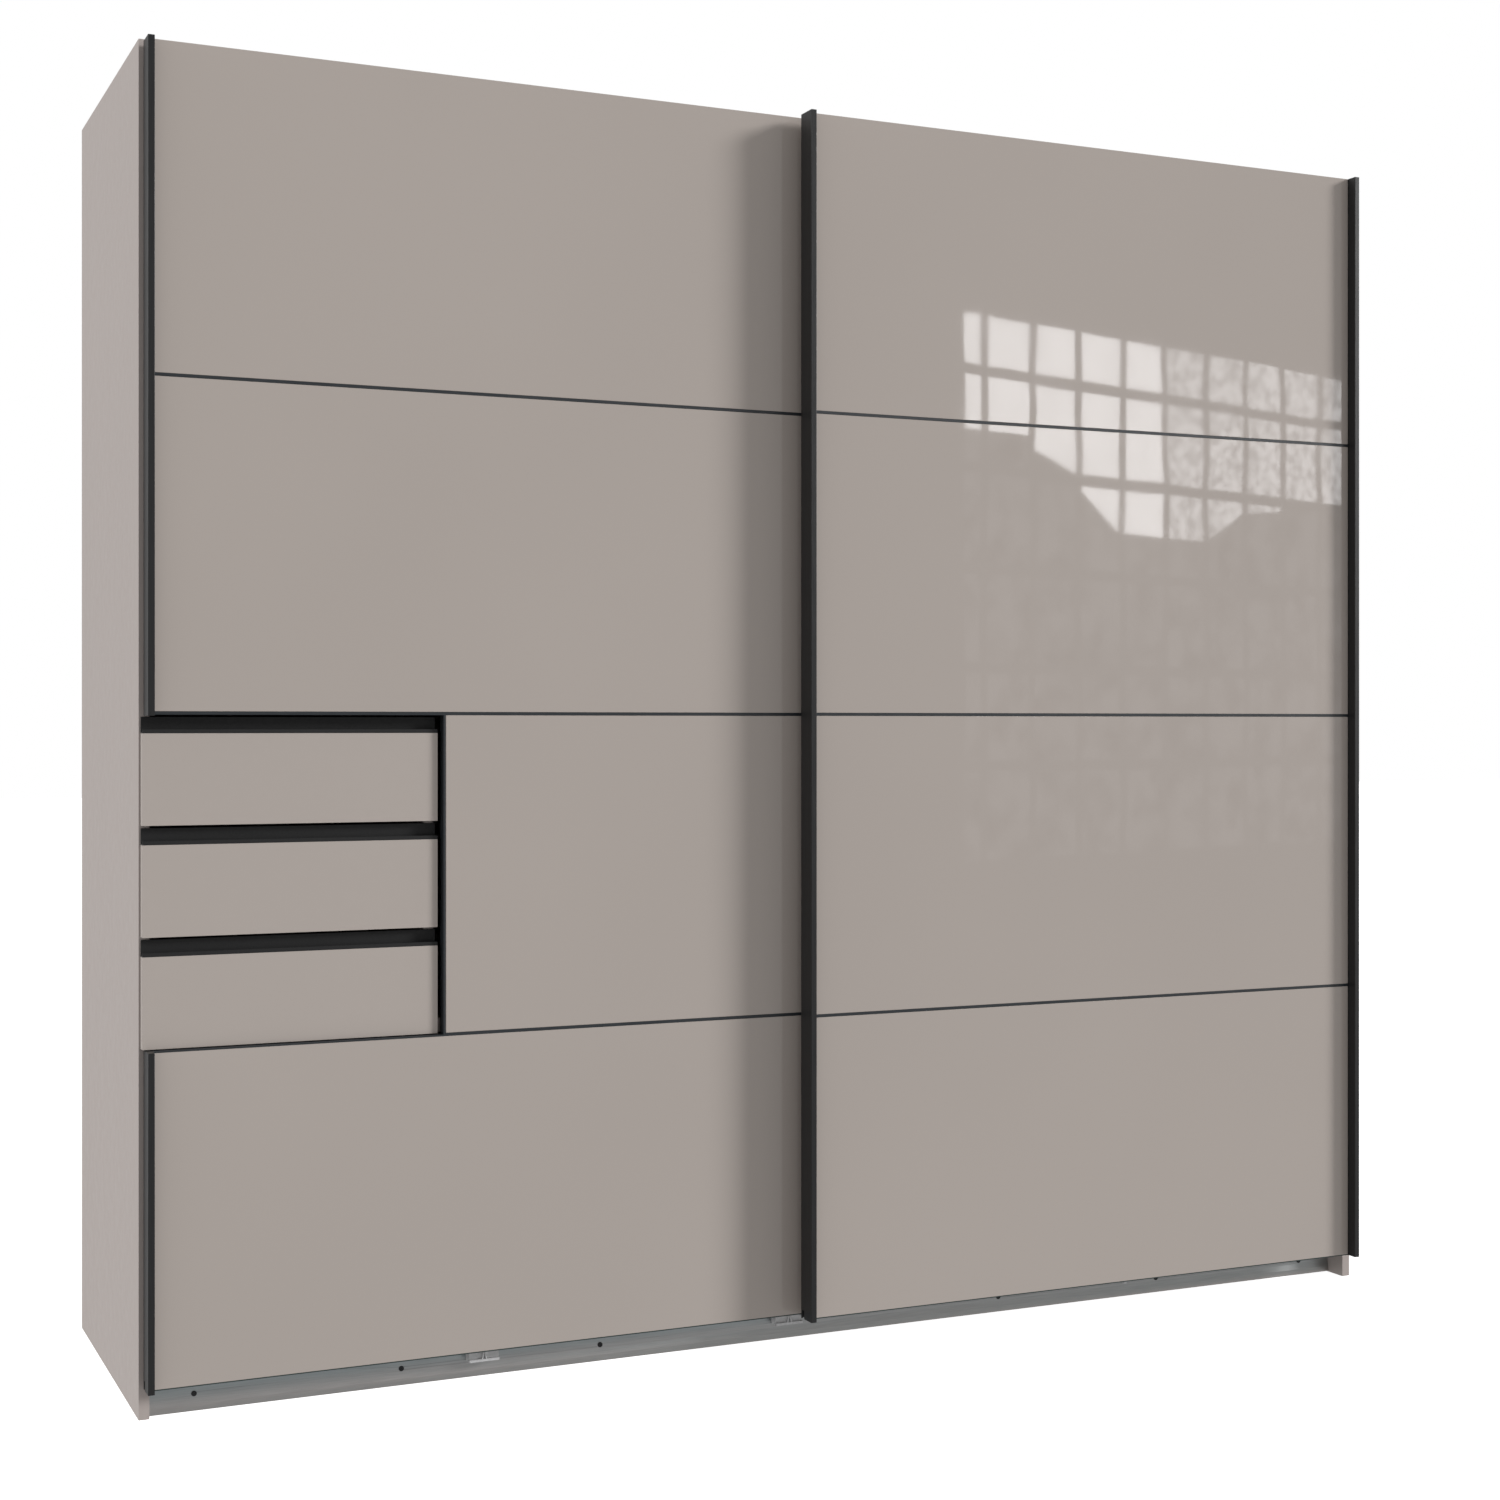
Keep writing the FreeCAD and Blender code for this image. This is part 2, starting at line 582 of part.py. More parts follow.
def hanger(x, rear, rib, top_z):
    """A bent steel hanger: screwed to the door's back, over the top, and down to the wheel's axle."""
    axle_y = FRONT_Y + rib
    leg_y = axle_y + WHEEL_WIDTH / 2 + HANGER_LEG_GAP
    leg_rear = leg_y + HANGER_SHEET
    plate_x = around(x, HANGER_WIDTH)
    plate = box(plate_x, (rear, rear + HANGER_SHEET), (DOOR_TOP_Z - HANGER_PLATE_DROP, top_z))
    arm = box(plate_x, (rear, leg_rear), (top_z - HANGER_SHEET, top_z))
    leg = box(around(x, HANGER_LEG_WIDTH), (leg_y, leg_rear), (AXLE_Z - HANGER_LEG_END, top_z))
    pin_y = axle_y - WHEEL_WIDTH / 2 - AXLE_END
    head_radius, head_length = AXLE_HEAD
    nut_radius, nut_length = AXLE_NUT
    pin = rod(AXLE_RADIUS, (x, pin_y, AXLE_Z), leg_y - pin_y, (0, 1, 0))
    head = rod(head_radius, (x, pin_y - head_length, AXLE_Z), head_length, (0, 1, 0))
    nut = rod(nut_radius, (x, leg_rear, AXLE_Z), nut_length, (0, 1, 0))
    return joined([plate, arm, leg, pin, head, nut])


def wheel(x, rib):
    """A grooved plastic wheel that runs on a rib of the upper track."""
    centre = FRONT_Y + rib
    hub = AXLE_RADIUS + AXLE_FIT
    groove = RIB_WIDTH / 2 + GROOVE_FIT
    half = [(groove, WHEEL_TREAD), (groove + GROOVE_FLARE, WHEEL_RADIUS), (WHEEL_WIDTH / 2, WHEEL_RADIUS)]
    half.append((WHEEL_WIDTH / 2, hub))
    mirrored = [(-dy, radius) for dy, radius in reversed(half)]
    face = outline_face([(x, centre + dy, AXLE_Z + radius) for dy, radius in half + mirrored])
    return face.revolve(FreeCAD.Vector(x, centre, AXLE_Z), FreeCAD.Vector(0, 1, 0), 360)


def make_running_gear(side, door_x, rear, rib, top_z):
    """Both hangers, their screws and wheels; drills the door's board for the screws."""
    forward = (0, -1, 0)
    board = nodes[side + "_door_board"]
    hangers = []
    screws = []
    for end, x in (("left", door_x[0] + HANGER_INSET), ("right", door_x[1] - HANGER_INSET)):
        steel = hanger(x, rear, rib, top_z)
        for dx, dz in HANGER_SCREWS:
            place = (x + dx, rear + HANGER_SHEET, DOOR_TOP_Z + dz)
            screws.append(screw(place, forward, HANGER_SCREW, PAN_HEAD))
            board = board.cut(pilot(place, forward, HANGER_SCREW))
            steel = steel.cut(clearance(place, forward, HANGER_SHEET))
        hangers.append(steel)
        nodes["%s_door_wheel_%s" % (side, end)] = wheel(x, rib)
    nodes[side + "_door_board"] = board
    nodes[side + "_door_hangers"] = group(hangers)
    nodes[side + "_door_hanger_screws"] = group(screws)


def make_left_door():
    """The inner door: a board with a window for the drawers, four panes, strips and a split stile."""
    rear = INNER_DOOR_Y
    front = rear - BOARD
    face = front - GLASS
    stile_x, door_right = INNER_DOOR_X
    whole = (stile_x + STILE_WIDTH, door_right)
    beside = (WINDOW_RIGHT_X, door_right)
    window_x = (whole[0], WINDOW_RIGHT_X)
    sill = WINDOW_BOTTOM_Z - WINDOW_SILL
    head = PANE_JOINTS_Z[1] + JOINT_STRIP / 2
    groove = guide_groove(rear)
    window = box(window_x, (front, rear), (sill, head))
    board = box(whole, (front, rear), (DOOR_BOTTOM_Z, DOOR_TOP_Z))
    nodes["left_door_board"] = board.cut([window, groove])

    lowest, window_pane, upper, highest = pane_spans()
    panes = [box(whole, (face, front), z) for z in (lowest, upper, highest)]
    panes.append(box(beside, (face, front), window_pane))
    nodes["left_door_panes"] = group(panes)

    strip_y = (face + STRIP_RECESS, front)
    strip_z = [around(z, JOINT_STRIP) for z in PANE_JOINTS_Z]
    strip_x = (beside, beside, whole)
    nodes["left_door_joint_strips"] = group([box(x, strip_y, z) for x, z in zip(strip_x, strip_z)])

    upright_x = (WINDOW_RIGHT_X - WINDOW_PROFILE, WINDOW_RIGHT_X)
    upright = box(upright_x, (face, rear), (sill, head))
    lower = box(window_x, (face, rear), (sill, WINDOW_BOTTOM_Z))
    upper = box(window_x, (face, rear), (WINDOW_TOP_Z, head))
    nodes["left_door_window_profile"] = joined([upright, lower, upper])

    lower_stile = stile(stile_x, rear, (DOOR_BOTTOM_Z, WINDOW_BOTTOM_Z), True)
    upper_stile = stile(stile_x, rear, (WINDOW_TOP_Z - STILE_LAP, DOOR_TOP_Z), False)
    nodes["left_door_upper_stile"] = upper_stile
    nodes["left_door_lower_stile"] = lower_stile.cut(groove)
    make_running_gear("left", INNER_DOOR_X, rear, INNER_RIB, INNER_HANGER_Z)


def make_right_door():
    """The outer door: a plain board with four panes between two full height stiles."""
    rear = OUTER_DOOR_Y
    front = rear - BOARD
    face = front - GLASS
    left, right = OUTER_DOOR_X
    x = (left + STILE_WIDTH, right - STILE_WIDTH)
    groove = guide_groove(rear)
    nodes["right_door_board"] = box(x, (front, rear), (DOOR_BOTTOM_Z, DOOR_TOP_Z)).cut(groove)
    nodes["right_door_panes"] = group([box(x, (face, front), z) for z in pane_spans()])
    strip_y = (face + STRIP_RECESS, front)
    strips = [box(x, strip_y, around(z, JOINT_STRIP)) for z in PANE_JOINTS_Z]
    nodes["right_door_joint_strips"] = group(strips)
    for name, stile_x in (("left", left), ("right", right - STILE_WIDTH)):
        post = stile(stile_x, rear, (DOOR_BOTTOM_Z, DOOR_TOP_Z), True)
        nodes["right_door_%s_stile" % name] = post.cut(groove)
    make_running_gear("right", OUTER_DOOR_X, rear, OUTER_RIB, OUTER_HANGER_Z)


# ---------------------------------------------------------------- drawer block

def make_drawer_block():
    """The divider and the top board that close the drawer block against the left side panel."""
    y = (FRONT_Y, SHELF_REAR_Y)
    under = BLOCK_TOP_Z - BOARD
    divider_x = (DIVIDER_X, DIVIDER_X + BOARD)
    nodes["drawer_block_divider"] = box(divider_x, y, (DRAWER_SHELF_Z + DRAWER_SHELF, under))
    nodes["drawer_block_top"] = box((INNER_LEFT_X, divider_x[1]), y, (under, BLOCK_TOP_Z))


def channel(wall, sign, member, z):
    """One thin lipped channel of a slide; sign is the direction from the wall to the drawer."""
    web_edge, lip_edge, half_height = member
    turn = 1 if web_edge < lip_edge else -1
    y = (FRONT_Y + SLIDE_SETBACK, FRONT_Y + SLIDE_SETBACK + SLIDE_LENGTH)
    web_x = sorted((wall + sign * web_edge, wall + sign * (web_edge + turn * SLIDE_SHEET)))
    lip_x = sorted((wall + sign * web_edge, wall + sign * lip_edge))
    low, high = z - half_height, z + half_height
    web = box(web_x, y, (low, high))
    lips = [box(lip_x, y, lip_z) for lip_z in ((high - SLIDE_SHEET, high), (low, low + SLIDE_SHEET))]
    return joined([web] + lips)


def slide_pair(member, z):
    """The left and the right channel of one member of a drawer's slides."""
    return [channel(INNER_LEFT_X, 1, member, z), channel(DIVIDER_X, -1, member, z)]


def drawer_box(low):
    """Four boards grooved for the bottom sheet, and the sheet."""
    x = (INNER_LEFT_X + SLIDE_SPACE, DIVIDER_X - SLIDE_SPACE)
    y = (DRAWER_FRONT_Y[1], DRAWER_FRONT_Y[1] + BOX_LENGTH)
    z = (low, low + BOX_HEIGHT)
    inside_x = (x[0] + BOX_BOARD, x[1] - BOX_BOARD)
    boards = [
        box((x[0], inside_x[0]), y, z),
        box((inside_x[1], x[1]), y, z),
        box(inside_x, (y[0], y[0] + BOX_BOARD), z),
        box(inside_x, (y[1] - BOX_BOARD, y[1]), z),
    ]
    inlet = BOX_BOARD / 2
    sheet_z = (low + BOX_SHEET_RISE, low + BOX_SHEET_RISE + BOX_SHEET)
    sheet = box((x[0] + inlet, x[1] - inlet), (y[0] + inlet, y[1] - inlet), sheet_z)
    return group([board.cut(sheet) for board in boards] + [sheet])


def grip(z):
    """The black channel on a front's top edge: a low lip in front and a high wall behind the fingers."""
    front, rear = DRAWER_FRONT_Y
    pieces = [
        box(DRAWER_FRONT_X, (front, rear), (z, z + GRIP_WALL)),
        box(DRAWER_FRONT_X, (front, front + GRIP_WALL), (z, z + GRIP_LIP)),
        box(DRAWER_FRONT_X, (rear - GRIP_WALL, rear), (z, z + GRIP_HEIGHT)),
    ]
    return joined(pieces)


def make_drawers():
    """Three equal drawers, numbered from the top."""
    fixed_member, middle_member, inner_member = SLIDE_MEMBERS
    fixed = []
    for number in (1, 2, 3):
        low = LOWEST_FRONT_Z + (3 - number) * FRONT_PITCH
        slide_z = low + BOX_RISE + SLIDE_RISE
        name = "drawer_%d_" % number
        nodes[name + "front"] = box(DRAWER_FRONT_X, DRAWER_FRONT_Y, (low, low + FRONT_HEIGHT))
        nodes[name + "grip"] = grip(low + FRONT_HEIGHT)
        nodes[name + "box"] = drawer_box(low + BOX_RISE)
        nodes[name + "slide_middle"] = group(slide_pair(middle_member, slide_z))
        nodes[name + "slide_inner"] = group(slide_pair(inner_member, slide_z))
        fixed += slide_pair(fixed_member, slide_z)
    nodes["drawer_slide_fixed"] = group(fixed)


make_carcass()
make_plinth()
make_back()
make_shelves()
make_clothes_rails()
make_wall_brackets()
make_upper_track()
make_stops()
make_lower_rail()
make_bottom_guides()
make_left_door()
make_right_door()
make_drawer_block()
make_drawers()

os.makedirs("parts", exist_ok=True)
for name, shape in nodes.items():
    shape.exportStep("parts/%s.step" % name)
print(len(nodes), "nodes")
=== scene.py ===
"""Looks for the sliding door wardrobe: finishes, small fittings, stage, light and camera."""

import json
import math

import bmesh
import bpy
from mathutils import Matrix, Vector


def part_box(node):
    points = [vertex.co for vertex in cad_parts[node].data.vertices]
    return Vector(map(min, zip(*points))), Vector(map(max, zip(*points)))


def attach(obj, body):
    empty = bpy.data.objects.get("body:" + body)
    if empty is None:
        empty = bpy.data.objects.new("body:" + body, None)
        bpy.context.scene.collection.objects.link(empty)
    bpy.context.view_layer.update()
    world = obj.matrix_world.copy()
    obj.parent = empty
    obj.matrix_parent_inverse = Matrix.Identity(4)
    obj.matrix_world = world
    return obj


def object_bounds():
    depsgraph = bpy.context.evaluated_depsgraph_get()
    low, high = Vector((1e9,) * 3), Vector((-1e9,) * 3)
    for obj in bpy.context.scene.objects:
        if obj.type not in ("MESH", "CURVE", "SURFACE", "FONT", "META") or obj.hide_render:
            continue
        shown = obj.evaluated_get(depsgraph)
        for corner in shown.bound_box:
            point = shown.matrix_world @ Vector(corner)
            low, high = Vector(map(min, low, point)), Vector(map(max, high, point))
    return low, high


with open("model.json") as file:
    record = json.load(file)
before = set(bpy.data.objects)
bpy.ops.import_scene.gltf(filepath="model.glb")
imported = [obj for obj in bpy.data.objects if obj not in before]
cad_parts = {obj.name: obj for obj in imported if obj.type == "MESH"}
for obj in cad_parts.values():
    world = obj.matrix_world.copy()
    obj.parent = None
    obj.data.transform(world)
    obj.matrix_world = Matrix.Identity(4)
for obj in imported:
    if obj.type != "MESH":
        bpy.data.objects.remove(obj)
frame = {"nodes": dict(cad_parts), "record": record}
CAD_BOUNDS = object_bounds()
NODES = frame["nodes"]
FRONT, FLOOR = CAD_BOUNDS[0][1:]


# ---------------------------------------------------------------- material kit

# A normal's Y above which a face counts as pointing to the wall
WALLWARD = 0.9
REFRACTION = 1.5


class Finish:
    """A material under construction, with the few node helpers that the finishes share."""

    def __init__(self, name, roughness, metallic=0.0):
        self.material = bpy.data.materials.new(name)
        self.material.use_nodes = True
        self.tree = self.material.node_tree
        self.shader = self.tree.nodes["Principled BSDF"]
        self.shader.inputs["Roughness"].default_value = roughness
        self.shader.inputs["Metallic"].default_value = metallic
        self.shader.inputs["IOR"].default_value = REFRACTION
        self.coordinates = self.tree.nodes.new("ShaderNodeTexCoord")
        self.last_normal = None

    def wire(self, source, target):
        self.tree.links.new(source, target)

    def noise(self, scale, detail=2.0, stretch=(1, 1, 1), roughness=0.5):
        """Noise in metres: scale is features per metre, stretch divides it along each axis."""
        mapping = self.tree.nodes.new("ShaderNodeMapping")
        mapping.inputs["Scale"].default_value = [1 / s for s in stretch]
        texture = self.tree.nodes.new("ShaderNodeTexNoise")
        texture.inputs["Scale"].default_value = scale
        texture.inputs["Detail"].default_value = detail
        texture.inputs["Roughness"].default_value = roughness
        self.wire(self.coordinates.outputs["Object"], mapping.inputs["Vector"])
        self.wire(mapping.outputs["Vector"], texture.inputs["Vector"])
        return texture.outputs["Fac"]

    def cells(self, scale, stretch=(1, 1, 1)):
        """Flat patches of random value, for chips of wood."""
        mapping = self.tree.nodes.new("ShaderNodeMapping")
        mapping.inputs["Scale"].default_value = [1 / s for s in stretch]
        texture = self.tree.nodes.new("ShaderNodeTexVoronoi")
        texture.inputs["Scale"].default_value = scale
        self.wire(self.coordinates.outputs["Object"], mapping.inputs["Vector"])
        self.wire(mapping.outputs["Vector"], texture.inputs["Vector"])
        split = self.tree.nodes.new("ShaderNodeSeparateColor")
        self.wire(texture.outputs["Color"], split.inputs["Color"])
        return split.outputs["Red"]

    def ramp(self, factor, low, high, start=0.35, end=0.65):
        """A colour between low and high."""
        ramp = self.tree.nodes.new("ShaderNodeValToRGB")
        ramp.color_ramp.elements[0].position = start
        ramp.color_ramp.elements[1].position = end
        ramp.color_ramp.elements[0].color = (*low, 1)
        ramp.color_ramp.elements[1].color = (*high, 1)
        self.wire(factor, ramp.inputs["Fac"])
        return ramp.outputs["Color"]

    def level(self, factor, low, high, start=0.3, end=0.7):
        """A number between low and high."""
        node = self.tree.nodes.new("ShaderNodeMapRange")
        for socket, value in (("From Min", start), ("From Max", end), ("To Min", low), ("To Max", high)):
            node.inputs[socket].default_value = value
        self.wire(factor, node.inputs["Value"])
        return node.outputs["Result"]

    def blend(self, factor, first, second, mode="MIX"):
        """second over first by factor, which is a socket or a number."""
        node = self.tree.nodes.new("ShaderNodeMix")
        node.data_type = "RGBA"
        node.blend_type = mode
        if isinstance(factor, float):
            node.inputs["Factor"].default_value = factor
        else:
            self.wire(factor, node.inputs["Factor"])
        for source, index in ((first, 6), (second, 7)):
            self.wire(source, node.inputs[index])
        return node.outputs[2]

    def facing_wall(self):
        """1 on faces that point to the wall behind the wardrobe."""
        split = self.tree.nodes.new("ShaderNodeSeparateXYZ")
        self.wire(self.coordinates.outputs["Normal"], split.inputs["Vector"])
        compare = self.tree.nodes.new("ShaderNodeMath")
        compare.operation = "GREATER_THAN"
        compare.inputs[1].default_value = WALLWARD
        self.wire(split.outputs["Y"], compare.inputs[0])
        return compare.outputs["Value"]

    def height(self, start, end):
        """0 below start to 1 above end, in metres above the floor."""
        split = self.tree.nodes.new("ShaderNodeSeparateXYZ")
        self.wire(self.coordinates.outputs["Object"], split.inputs["Vector"])
        return self.level(split.outputs["Z"], 0.0, 1.0, start, end)

    def color(self, source):
        self.wire(source, self.shader.inputs["Base Color"])

    def gloss(self, source):
        self.wire(source, self.shader.inputs["Roughness"])

    def bump(self, height, distance, strength=1.0):
        """Relief of distance metres, laid over any relief that is already there."""
        node = self.tree.nodes.new("ShaderNodeBump")
        node.inputs["Distance"].default_value = distance
        node.inputs["Strength"].default_value = strength
        self.wire(height, node.inputs["Height"])
        if self.last_normal:
            self.wire(self.last_normal, node.inputs["Normal"])
        self.last_normal = node.outputs["Normal"]
        self.wire(self.last_normal, self.shader.inputs["Normal"])


def shade(color, factor):
    """A colour made lighter or darker."""
    return tuple(min(1.0, c * factor) for c in color)


# ---------------------------------------------------------------- finishes

CASHMERE = (0.421, 0.373, 0.341)
CASHMERE_PRINT = (0.415, 0.364, 0.341)
# The glass's dark bottom band, partly its edge's own colour and partly painted shade along the door's bottom
# edge, and the heights in metres where the band ends
GLASS_EDGE_AND_SHADE_COLOR = (0.018, 0.032, 0.030)
GLASS_EDGE_SHADE_HEIGHTS = (0.0508, 0.0514)
INTERIOR = (0.50, 0.475, 0.44)
RAW_CHIP = (0.42, 0.29, 0.17)
# Heights in metres over which the rail's painted reflection turns from warm to cool
PAINTED_RAIL_REFLECTION_HEIGHTS = (0.008, 0.040)


def decor_board(name, color, raw_rear_edges, linen=False):
    """Melamine-faced board: a satin print with fine pores, and raw chipboard on its rear edges."""
    finish = Finish(name, 0.45)
    grain = finish.ramp(finish.noise(900, 3), shade(color, 0.985), shade(color, 1.015))
    cloud = finish.ramp(finish.noise(2.2, 2), (0.985,) * 3, (1.0,) * 3)
    surface = finish.blend(1.0, grain, cloud, "MULTIPLY")
    if linen:
        threads = [finish.noise(420, 1, stretch) for stretch in ((14, 14, 1), (1, 1, 14))]
        for thread in threads:
            weave = finish.ramp(thread, (0.93,) * 3, (1.0,) * 3)
            surface = finish.blend(1.0, surface, weave, "MULTIPLY")
    if raw_rear_edges:
        dark_chip, light_chip = shade(RAW_CHIP, 0.6), shade(RAW_CHIP, 1.5)
        chips = finish.ramp(finish.cells(330, (3, 1, 3)), dark_chip, light_chip, 0.0, 1.0)
        surface = finish.blend(finish.facing_wall(), surface, chips)
    finish.color(surface)
    finish.gloss(finish.level(finish.noise(60, 3), 0.38, 0.50))
    finish.bump(finish.noise(1400, 2), 0.00006)
    return finish.material


def lacquered_glass(name):
    """Clear glass over an even lacquer, with float glass's faint waves and a dark band along its lower edge,
    partly the glass edge's own colour and partly painted shade along the door's bottom edge.
    """
    finish = Finish(name, 0.04)
    even = finish.ramp(finish.noise(1.6, 2), shade(CASHMERE, 0.985), shade(CASHMERE, 1.01))
    # Painted shade: below these heights the lacquer turns dark, partly for the glass edge and partly for the
    # shadow along the door's bottom edge
    edge_and_shade = finish.ramp(finish.noise(40, 2), shade(GLASS_EDGE_AND_SHADE_COLOR, 0.9), shade(GLASS_EDGE_AND_SHADE_COLOR, 1.2))
    finish.color(finish.blend(finish.height(*GLASS_EDGE_SHADE_HEIGHTS), edge_and_shade, even))
    finish.gloss(finish.level(finish.noise(9, 3), 0.02, 0.035))
    finish.bump(finish.noise(5.5, 1), 0.0002)
    return finish.material


def back_sheet():
    """Hardboard: brown fibres on the wall side, a pale print on the inside."""
    finish = Finish("hardboard", 0.62)
    fibre = finish.ramp(finish.noise(260, 6, (1, 1, 1.6), 0.7), (0.27, 0.165, 0.085), (0.44, 0.295, 0.17))
    patch = finish.ramp(finish.noise(7, 4), (0.86,) * 3, (1.0,) * 3)
    raw = finish.blend(1.0, fibre, patch, "MULTIPLY")
    printed = finish.ramp(finish.noise(420, 1, (14, 14, 1)), shade(INTERIOR, 0.95), shade(INTERIOR, 1.04))
    finish.color(finish.blend(finish.facing_wall(), printed, raw))
    finish.gloss(finish.level(finish.noise(40, 3), 0.5, 0.75))
    finish.bump(finish.noise(300, 5, (1, 1, 1.6)), 0.00012)
    return finish.material


def dark_extrusion(name, base, reflection, along):
    """Dark anodised extrusion with faint draw lines; along stretches them over its length."""
    finish = Finish(name, 0.38)
    finish.shader.inputs["Specular IOR Level"].default_value = reflection
    finish.color(finish.ramp(finish.noise(1500, 2, along), shade(base, 0.8), shade(base, 1.25)))
    finish.gloss(finish.level(finish.noise(900, 2, along), 0.32, 0.46))
    finish.bump(finish.noise(2600, 1, along), 0.00002)
    return finish.material


def grip_coating():
    """Matt black powder coat with a very fine orange peel."""
    finish = Finish("matt_black_coat", 0.55)
    finish.shader.inputs["Specular IOR Level"].default_value = 0.35
    base = (0.0085, 0.0085, 0.0088)
    finish.color(finish.ramp(finish.noise(500, 3), shade(base, 0.85), shade(base, 1.2)))
    finish.gloss(finish.level(finish.noise(300, 3), 0.48, 0.62))
    finish.bump(finish.noise(1800, 2), 0.00005)
    return finish.material


def natural_aluminium():
    """Natural anodised extrusion, brushed along X, with a painted reflection: tinted warm low down and cool
    higher up.
    """
    finish = Finish("natural_anodised", 0.36, metallic=1.0)
    base = (0.43, 0.435, 0.44)
    brushed = finish.ramp(finish.noise(1800, 3, (90, 1, 1)), shade(base, 0.90), shade(base, 1.06))
    streak = finish.ramp(finish.noise(60, 2, (120, 1, 1)), (0.86, 0.90, 0.90), (1.0, 0.99, 0.98))
    metal = finish.blend(1.0, brushed, streak, "MULTIPLY")
    # Painted reflection: warm below 8 mm and cool above 40 mm over the floor, by height
    painted_reflection = finish.ramp(finish.height(*PAINTED_RAIL_REFLECTION_HEIGHTS), (1.0, 0.955, 0.93), (0.94, 0.985, 1.0), 0.0, 1.0)
    finish.color(finish.blend(1.0, metal, painted_reflection, "MULTIPLY"))
    finish.gloss(finish.level(finish.noise(1200, 2, (60, 1, 1)), 0.30, 0.44))
    finish.bump(finish.noise(3000, 1, (120, 1, 1)), 0.00002)
    return finish.material


def zinc():
    """Bright zinc plating with soft bluish and yellowish patches."""
    finish = Finish("zinc_plate", 0.3, metallic=1.0)
    finish.color(finish.ramp(finish.noise(70, 4), (0.62, 0.63, 0.63), (0.74, 0.73, 0.69)))
    finish.gloss(finish.level(finish.noise(160, 3), 0.24, 0.40))
    finish.bump(finish.noise(900, 2), 0.00002)
    return finish.material


def dark_screw():
    """Black zinc on a screw."""
    finish = Finish("black_zinc", 0.35, metallic=1.0)
    finish.color(finish.ramp(finish.noise(600, 2), (0.03, 0.03, 0.032), (0.06, 0.06, 0.062)))
    finish.gloss(finish.level(finish.noise(900, 2), 0.28, 0.45))
    return finish.material


def chrome():
    """Polished chrome tube with hardly any haze."""
    finish = Finish("chrome_plate", 0.08, metallic=1.0)
    finish.color(finish.ramp(finish.noise(30, 2), (0.74, 0.75, 0.76), (0.80, 0.80, 0.81)))
    finish.gloss(finish.level(finish.noise(50, 3), 0.05, 0.12))
    return finish.material


def moulded_plastic(name, color, low, high):
    """Injection moulded plastic with a light spark texture."""
    finish = Finish(name, (low + high) / 2)
    finish.color(finish.ramp(finish.noise(250, 3), shade(color, 0.95), shade(color, 1.04)))
    finish.gloss(finish.level(finish.noise(120, 2), low, high))
    finish.bump(finish.noise(2200, 2), 0.00004)
    return finish.material


FINISHES = {
    "laminate": decor_board("decor_board", CASHMERE_PRINT, True),
    "laminate_front": decor_board("decor_front", CASHMERE, False),
    "inner_laminate": decor_board("interior_board", INTERIOR, True, linen=True),
    "drawer_board": decor_board("drawer_board", INTERIOR, False, linen=True),
    "back_sheet": back_sheet(),
    "door_board": decor_board("door_back_board", INTERIOR, False, linen=True),
    "lacquered_glass_left": lacquered_glass("lacquered_glass"),
    "dark_aluminium": dark_extrusion("black_anodised", (0.011, 0.0112, 0.0118), 0.38, (1, 1, 60)),
    "mill_aluminium": natural_aluminium(),
    "zinc_fittings": zinc(),
    "dark_screws": dark_screw(),
    "chrome_tube": chrome(),
    "grip_plastic": grip_coating(),
    "grey_plastic": moulded_plastic("grey_nylon", (0.20, 0.20, 0.205), 0.40, 0.55),
    "pale_plastic": moulded_plastic("pale_acetal", (0.58, 0.58, 0.585), 0.30, 0.42),
    "white_plastic": moulded_plastic("white_profile", (0.70, 0.69, 0.66), 0.35, 0.5),
    "wheel_plastic": moulded_plastic("white_acetal", (0.74, 0.74, 0.71), 0.25, 0.35),
}
FINISHES["lacquered_glass_right"] = FINISHES["lacquered_glass_left"]
JOINT_FINISH = dark_extrusion("blue_grey_anodised", (0.022, 0.026, 0.030), 0.38, (60, 1, 1))


def finish_of(node, slot):
    """The material for a CAD node; the drawers' boards have no raw edges and the joints are bluish."""
    if node.endswith(("_joint_strips", "_window_profile")):
        return JOINT_FINISH
    if node.startswith("drawer_") and node.endswith("_box"):
        slot = "drawer_board"
    return FINISHES[slot]


# ---------------------------------------------------------------- CAD pieces

WELD = 0.00002
BEVELS = {
    "lacquered_glass_left": 0.0012,
    "lacquered_glass_right": 0.0012,
    "dark_aluminium": 0.0004,
    "mill_aluminium": 0.0003,
    "zinc_fittings": 0.0003,
    "grip_plastic": 0.0004,
    "pale_plastic": 0.0006,
    "grey_plastic": 0.0005,
    "white_plastic": 0.0002,
    "back_sheet": 0.0003,
}
BOARD_BEVEL = 0.0006
ROUND_SLOTS = ("wheel_plastic", "chrome_tube", "dark_screws")


def soften(obj, width):
    """Welds a CAD mesh's seams and takes its sharp edges off."""
    weld = obj.modifiers.new("weld", "WELD")
    weld.merge_threshold = WELD
    bevel = obj.modifiers.new("edges", "BEVEL")
    bevel.width = width
    bevel.segments = 2
    bevel.limit_method = "ANGLE"
    bevel.angle_limit = math.radians(50)
    bevel.harden_normals = True


def dress_cad_nodes():
    """Gives every CAD node its finish and, unless it is turned or drawn round, its softened edges."""
    for part in frame["record"]["subparts"]:
        node, slot = part["node"], part["material_slot"]
        obj = NODES[node]
        obj.data.materials.clear()
        obj.data.materials.append(finish_of(node, slot))
        if slot not in ROUND_SLOTS:
            soften(obj, BEVELS.get(slot, BOARD_BEVEL))


dress_cad_nodes()


# ---------------------------------------------------------------- fittings that the CAD model leaves out

